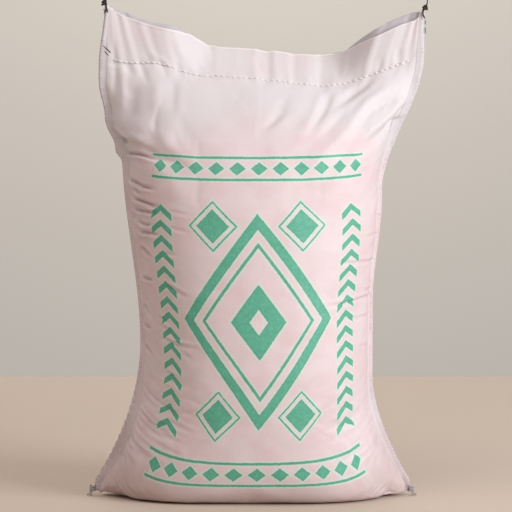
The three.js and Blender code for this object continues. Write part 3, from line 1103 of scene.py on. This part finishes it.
class Shade:
    def __init__(self, tree, socket=None):
        self.tree = tree
        self.socket = socket

    def node(self, kind, settings=None, sockets=None, output=0):
        made = self.tree.nodes.new(kind)
        for name, value in (settings or {}).items():
            setattr(made, name, value)
        for name, value in (sockets or {}).items():
            entry = made.inputs[name]
            if isinstance(value, Shade):
                self.tree.links.new(value.socket, entry)
            else:
                entry.default_value = value
        return Shade(self.tree, made.outputs[output])

    def math(self, operation, *values, clamp=False):
        settings = {"operation": operation, "use_clamp": clamp}
        return self.node("ShaderNodeMath", settings, dict(enumerate(values)))

    def __add__(self, other):
        return self.math("ADD", self, other)

    def __sub__(self, other):
        return self.math("SUBTRACT", self, other)

    def __rsub__(self, other):
        return self.math("SUBTRACT", other, self)

    def __mul__(self, other):
        return self.math("MULTIPLY", self, other)

    def __truediv__(self, other):
        return self.math("DIVIDE", self, other)

    def __abs__(self):
        return self.math("ABSOLUTE", self)

    __radd__ = __add__
    __rmul__ = __mul__


def newFinish(name):
    material = bpy.data.materials.new(name)
    material.use_nodes = True
    tree = material.node_tree
    return material, Shade(tree), tree.nodes["Principled BSDF"]


def connect(shade, shader, name, value):
    shade.tree.links.new(value.socket, shader.inputs[name])


def blend(shade, share, first, second, way="MIX"):
    settings = {"data_type": "RGBA", "blend_type": way}
    return shade.node("ShaderNodeMix", settings, {0: share, 6: first, 7: second}, output=2)


def noiseOf(shade, vector, scale, detail=2.0, roughness=0.5):
    sockets = {"Vector": vector, "Scale": scale, "Detail": detail, "Roughness": roughness}
    return shade.node("ShaderNodeTexNoise", None, sockets)


def stepUp(value, low, high):
    return value.node(
        "ShaderNodeMapRange",
        {"interpolation_type": "SMOOTHSTEP"},
        {"Value": value, "From Min": low, "From Max": high, "To Min": 0.0, "To Max": 1.0},
    )


def stepDown(value, start, width):
    return value.math("SUBTRACT", start, value / width, clamp=True)


def sine(value):
    return value.math("SINE", value)


def above(value, level):
    return value.math("GREATER_THAN", value, level)


def axisOf(shade, vector, axis):
    return shade.node("ShaderNodeSeparateXYZ", None, {0: vector}, output=axis)


def surfaceBump(shade, shader, strength, distance, height):
    sockets = {"Strength": strength, "Distance": distance, "Height": height}
    connect(shade, shader, "Normal", shade.node("ShaderNodeBump", None, sockets))


# The print, in millimetres on the flat panel: across from the middle, and up from the bottom seam
printing = {
    "middle": (3, 249),
    "bandHeight": 151,  # of each border band from the middle of the print
    "bandHalf": 104,
    "bandLine": 1.3,
    "bandGap": 11.5,
    "bandLozenge": (7.4, 7.0),
    "bandSpacing": 18.9,
    "lozenge": (63, 98),  # half diagonals of the outer lozenge
    "rings": [(0, 4.2), (12.5, 1.4)],  # how far inside it, and half the stroke
    "heart": (24, 37),
    "heartHole": (8, 12.5),
    "satellite": (14, 17),
    "satellitePlace": (37, 93),
    "satelliteRing": (4.5, 0.8),  # how far outside it, and half the stroke
    "chevronColumn": 88,
    "chevronHalf": 12.5,
    "chevronSlope": 0.75,
    "chevronStroke": 2.7,
    "chevronSpacing": 15.5,
    "chevronReach": 116,
    "wobble": 1.1,  # of the edges of the print
    "edge": (0.5, 0.55),
    "darkRim": 0.9,
    "halo": 1.7,
    "haloEdge": (0.5, 0.8),
}
clothColors = {
    "filled": (0.775, 0.645, 0.662, 1),
    "filledWarm": (0.765, 0.590, 0.612, 1),
    "empty": (0.735, 0.675, 0.700, 1),
    "ink": (0.070, 0.400, 0.262, 1),
    "inkThin": (0.150, 0.500, 0.370, 1),
    "inkRim": (0.10, 0.25, 0.17, 1),
    "halo": (0.640, 0.750, 0.680, 1),
    "inside": (0.560, 0.510, 0.545, 1),
    "seamCreaseShade": (0.440, 0.390, 0.430, 1),
    "cutEdge": (0.900, 0.840, 0.830, 1),
    "dustAndShade": (0.500, 0.380, 0.350, 1),
    "edge": (0.650, 0.600, 0.635, 1),
}
# noise: scale, detail and roughness; the rest is in millimetres on the flat cloth
clothLook = {
    "tape": 1.5,  # width of a woven tape
    "fibres": (260, 1),
    "fine": (900, 1),
    "patches": (24, 4, 0.6),
    "clouds": (9, 2),
    "hemPatches": (14, 2),
    "unevenPrint": (420, 1),
    "filledUpTo": (432, 486),
    "filledBow": 0.0016,
    "filledSway": 26,
    "dustAndShadeUpTo": (62, 108),
    "edgeFrom": (157, 163),
    "seamCreaseShade": 159.5,
    "seamCreaseShadeHalf": (0.5, 1.1),
    "sheen": 0.12,
    "sheenRoughness": 0.4,
}


def diamond(u, v, halfU, halfV):
    scale = halfU * halfV / math.hypot(halfU, halfV)
    return (abs(u) / halfU + abs(v) / halfV - 1) * scale


def closest(first, *others):
    for other in others:
        first = first.math("MINIMUM", first, other)
    return first


def within(first, *others):
    for other in others:
        first = first.math("MAXIMUM", first, other)
    return first


def wrapped(value, spacing):
    return value.math("WRAP", value, spacing / 2, -spacing / 2)


def bands(awayV, u):
    inBand = abs(u) - printing["bandHalf"]
    fromBand = awayV - printing["bandHeight"]
    lines = abs(abs(fromBand) - printing["bandGap"]) - printing["bandLine"]
    lozenges = diamond(wrapped(u, printing["bandSpacing"]), fromBand, *printing["bandLozenge"])
    return [within(lines, inBand), within(lozenges, inBand)]


def lozenges(u, v):
    outer = diamond(u, v, *printing["lozenge"])
    shapes = [abs(outer + inset) - stroke for inset, stroke in printing["rings"]]
    heart = diamond(u, v, *printing["heart"])
    shapes.append(within(heart, 0 - diamond(u, v, *printing["heartHole"])))
    placeU, placeV = printing["satellitePlace"]
    ringOut, ringStroke = printing["satelliteRing"]
    satellite = diamond(abs(u) - placeU, abs(v) - placeV, *printing["satellite"])
    return shapes + [satellite, abs(satellite - ringOut) - ringStroke]


def chevrons(u, v):
    fromColumn = abs(abs(u) - printing["chevronColumn"])
    slope = printing["chevronSlope"]
    level = v + fromColumn * slope
    zigzag = wrapped(level, printing["chevronSpacing"])
    stroke = abs(zigzag) / math.hypot(1, slope) - printing["chevronStroke"]
    beyond = abs(level - zigzag) - printing["chevronReach"]
    return within(stroke, fromColumn - printing["chevronHalf"], beyond)


def printDistance(u, v):
    # how far a place is outside the nearest shape of the print
    middleU, middleV = printing["middle"]
    u, v = u - middleU, v - middleV
    return closest(*bands(abs(v), u), *lozenges(u, v), chevrons(u, v))


def plainCloth(shade, uv, u, v, noise):
    look = clothLook
    level = v + u * u * look["filledBow"] + noise["clouds"] * look["filledSway"]
    filled = 1 - stepUp(level, *look["filledUpTo"])
    color = blend(shade, noise["patches"] * 0.9, clothColors["filled"], clothColors["filledWarm"])
    color = blend(shade, filled, clothColors["empty"], color)
    hemPatches = stepUp(noiseOf(shade, uv, *look["hemPatches"]), 0.45, 0.62)
    # the cloth near the side seams is greyer, most at the feet and the ears
    ends = 1 - stepUp(v, 120, 190) * (1 - stepUp(v, 400, 440)) * 0.85
    nearEdge = stepUp(abs(u), *look["edgeFrom"]) * ends
    fromLine = abs(abs(u) - look["seamCreaseShade"])
    cutEdge = cloth["flatHeight"] + form["hemLength"]
    layers = {
        "filledWarm": hemPatches * stepUp(v, 490, 540) * 0.25,
        "edge": nearEdge * (0.35 + noise["fibres"] * 0.6),
        # dust and painted shade: the cloth is darker towards the bottom, where the belly curves under
        "dustAndShade": (1 - stepUp(v, *look["dustAndShadeUpTo"])) * (0.25 + noise["clouds"] * 0.3),
        # a thin line beside each side seam is painted darker, as shade in the crease where the cloth
        # meets the fin
        "seamCreaseShade": (1 - stepUp(fromLine, *look["seamCreaseShadeHalf"])) * (0.2 + noise["fibres"] * 0.6),
        # the top edge of each layer is painted lighter, as a highlight
        "cutEdge": stepUp(v, cutEdge - 2.4, cutEdge - 1.6) * 0.6,
        # the inner faces of the hem are painted darker, as shade inside its mouth
        "inside": stepUp(v, cutEdge + 1, cutEdge + 3),
    }
    for name, share in layers.items():
        color = blend(shade, share, color, clothColors[name])
    return color


def printed(shade, color, distance, noise):
    ink = stepDown(distance, *printing["edge"])
    halo = stepDown(distance - printing["halo"], *printing["haloEdge"])
    color = blend(shade, halo * 0.8, color, clothColors["halo"])
    worn = stepUp(noise["fibres"] * 0.5 + noise["fine"] * 0.5, 0.42, 0.62)
    inkColor = blend(shade, worn * 0.55, clothColors["ink"], clothColors["inkThin"])
    rim = stepDown(abs(distance + printing["darkRim"]), 1, printing["darkRim"])
    inkColor = blend(shade, rim * 0.35, inkColor, clothColors["inkRim"])
    return blend(shade, ink * 0.96, color, inkColor), ink


def clothFinish():
    material, shade, shader = newFinish("woven_sack_cloth")
    uv = shade.node("ShaderNodeUVMap", {"uv_map": "cloth"})
    u, v = [axisOf(shade, uv, axis) / millimetre for axis in (0, 1)]
    onBack = above(u, cloth["backPlaces"] / 2)
    u = u - onBack * cloth["backPlaces"]
    kinds = ("fibres", "fine", "patches", "clouds")
    noise = {kind: noiseOf(shade, uv, *clothLook[kind]) for kind in kinds}
    noise["patches"] = stepUp(noise["patches"], 0.40, 0.62)
    noise["clouds"] = stepUp(noise["clouds"], 0.35, 0.65)
    # woven tapes, over and under one another
    across, along = [sine(place * (math.pi / clothLook["tape"])) for place in (u, v)]
    swap = above(across * along, 0)
    weave = abs(across) * swap + abs(along) * (1 - swap)
    gaps = stepUp(weave, 0.35, 0.0)
    color = plainCloth(shade, uv, u, v, noise)
    # the print, a little uneven at its edges, and none on the back
    wobble = (noiseOf(shade, uv, *clothLook["unevenPrint"]) - 0.5) * printing["wobble"]
    distance = printDistance(u, v) + wobble + onBack * cloth["backPlaces"]
    color, ink = printed(shade, color, distance, noise)
    # the gaps between the tapes are painted a little darker, as shade between them
    tone = 1 - gaps * 0.12 - (1 - noise["fine"]) * 0.05
    gray = shade.node("ShaderNodeCombineColor", None, {0: tone, 1: tone, 2: tone})
    connect(shade, shader, "Base Color", blend(shade, 1.0, color, gray, "MULTIPLY"))
    roughness = 0.58 + noise["patches"] * 0.1 + gaps * 0.12 - ink * 0.08
    connect(shade, shader, "Roughness", roughness)
    surfaceBump(shade, shader, 0.35, 0.00025, weave * 0.6 + noise["fibres"] * 0.5 + ink * 0.15)
    shader.inputs["Sheen Weight"].default_value = clothLook["sheen"]
    shader.inputs["Sheen Roughness"].default_value = clothLook["sheenRoughness"]
    return material


# Thread: light and dark of its twisted fibres, and roughness
threadLook = {
    "white_thread": ((0.92, 0.87, 0.89, 1), (0.70, 0.64, 0.66, 1), 0.65),
    "black_thread": ((0.035, 0.028, 0.026, 1), (0.012, 0.010, 0.010, 1), 0.55),
    "grey_thread": ((0.55, 0.50, 0.52, 1), (0.16, 0.13, 0.13, 1), 0.65),
}
twistLength = 0.0009


def threadFinish(name, color, shadow, roughness):
    # twisted fibres: fine slanting stripes painted in the shadow colour as shade between the fibres,
    # broken up, with a little dust
    material, shade, shader = newFinish(name)
    place = shade.node("ShaderNodeTexCoord", output=3)
    x, y, z = [axisOf(shade, place, axis) for axis in range(3)]
    twist = sine((x + z * 0.8 + y * 0.5) * (2 * math.pi / twistLength)) * 0.5 + 0.5
    fuzz = noiseOf(shade, place, 1400, 2, 0.6)
    dustAndShade = stepUp(noiseOf(shade, place, 90, 2), 0.42, 0.7)
    dark = (1 - twist) * 0.45 + (1 - fuzz) * 0.35 + dustAndShade * 0.2
    connect(shade, shader, "Base Color", blend(shade, dark, color, shadow))
    connect(shade, shader, "Roughness", roughness + fuzz * 0.15)
    surfaceBump(shade, shader, 0.5, 0.0002, twist + fuzz)
    return material


finishes = {slot: threadFinish(slot, *look) for slot, look in threadLook.items()}
finishes["woven_cloth"] = clothFinish()


def dress(piece, node, slot):
    piece.data.materials.clear()
    piece.data.materials.append(finishes[slot])
    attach(piece, "root")
    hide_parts(node)


dress(sack, "sack", "woven_cloth")
dress(stitchesFront, "closing_stitch_front", "white_thread")
dress(stitchesBack, "closing_stitch_back", "white_thread")
dress(loopsLeft, "edge_thread_left", "white_thread")
dress(loopsRight, "edge_thread_right", "white_thread")
for node, piece in knotPieces.items():
    dress(piece, node, "black_thread" if "top" in node else "grey_thread")
print("pieces dressed")


# A plain pale floor and wall, soft studio light, and the camera low in front
studio = {
    "stageSize": 8,
    "floorEnd": 1.28,  # behind the sack, where the floor's far edge meets the wall in the picture
    "wallBehind": 3.0,  # farther than the camera of the back views
    "wallMiddle": 2,
    "floorColor": (0.58, 0.48, 0.40, 1),
    "wallColor": (0.76, 0.715, 0.66, 1),
    "stageRoughness": 0.8,
    "ambient": 0.34,
    "ambientColor": (1, 0.955, 0.92, 1),
    "distance": 1.9,
    "lowAngle": 1.7,
    "target": (0.0011, 0, 0.240),
    "halfAngle": 7.67,
    "sensor": 36,
}
# place, target, power, size and colour
lights = {
    "key": ((1.5, -1.1, 0.85), (0, 0, 0.22), 33, 0.9, (0.92, 0.97, 1)),
    "fill": ((-0.6, -1.0, 2.2), (0, 0, 0.22), 16, 1.5, (1, 0.87, 0.80)),
    "wall_light": ((0, 1.5, 2.4), (0, 3.0, 0.3), 30, 1.5, (1, 0.98, 0.95)),
}


def stagePlane(name, place, turn, color):
    bpy.ops.mesh.primitive_plane_add(size=studio["stageSize"], location=place, rotation=turn)
    plane = bpy.context.object
    plane.name = name
    applyPlace(plane)
    finish, _, shader = newFinish(name)
    shader.inputs["Base Color"].default_value = color
    shader.inputs["Roughness"].default_value = studio["stageRoughness"]
    plane.data.materials.append(finish)
    return plane


def makeStage():
    floorPlace = (0, studio["floorEnd"] - studio["stageSize"] / 2, 0)
    wallPlace = (0, studio["wallBehind"], studio["wallMiddle"])
    floor = stagePlane("floor", floorPlace, (0, 0, 0), studio["floorColor"])
    wall = stagePlane("wall", wallPlace, (math.pi / 2, 0, 0), studio["wallColor"])


def makeLight(name, place, target, power, size, color):
    bpy.ops.object.light_add(type="AREA", location=place)
    light = bpy.context.object
    light.name = name
    light.data.energy = power
    light.data.size = size
    light.data.color = color
    light.rotation_euler = (Vector(target) - Vector(place)).to_track_quat("-Z", "Y").to_euler()


def makeCamera():
    bpy.ops.object.camera_add()
    camera = bpy.context.object
    angle = math.radians(studio["lowAngle"])
    back = Vector((0, -math.cos(angle), math.sin(angle)))
    camera.location = Vector(studio["target"]) + back * studio["distance"]
    camera.rotation_euler = (-back).to_track_quat("-Z", "Y").to_euler()
    camera.data.sensor_width = studio["sensor"]
    camera.data.lens = studio["sensor"] / 2 / math.tan(math.radians(studio["halfAngle"]))
    scene.camera = camera


makeStage()
for name, light in lights.items():
    makeLight(name, *light)
makeCamera()
world = bpy.data.worlds.new("studio")
world.use_nodes = True
world.node_tree.nodes["Background"].inputs["Color"].default_value = studio["ambientColor"]
world.node_tree.nodes["Background"].inputs["Strength"].default_value = studio["ambient"]
scene.world = world
scene.view_settings.view_transform = "Standard"
print("studio set up")
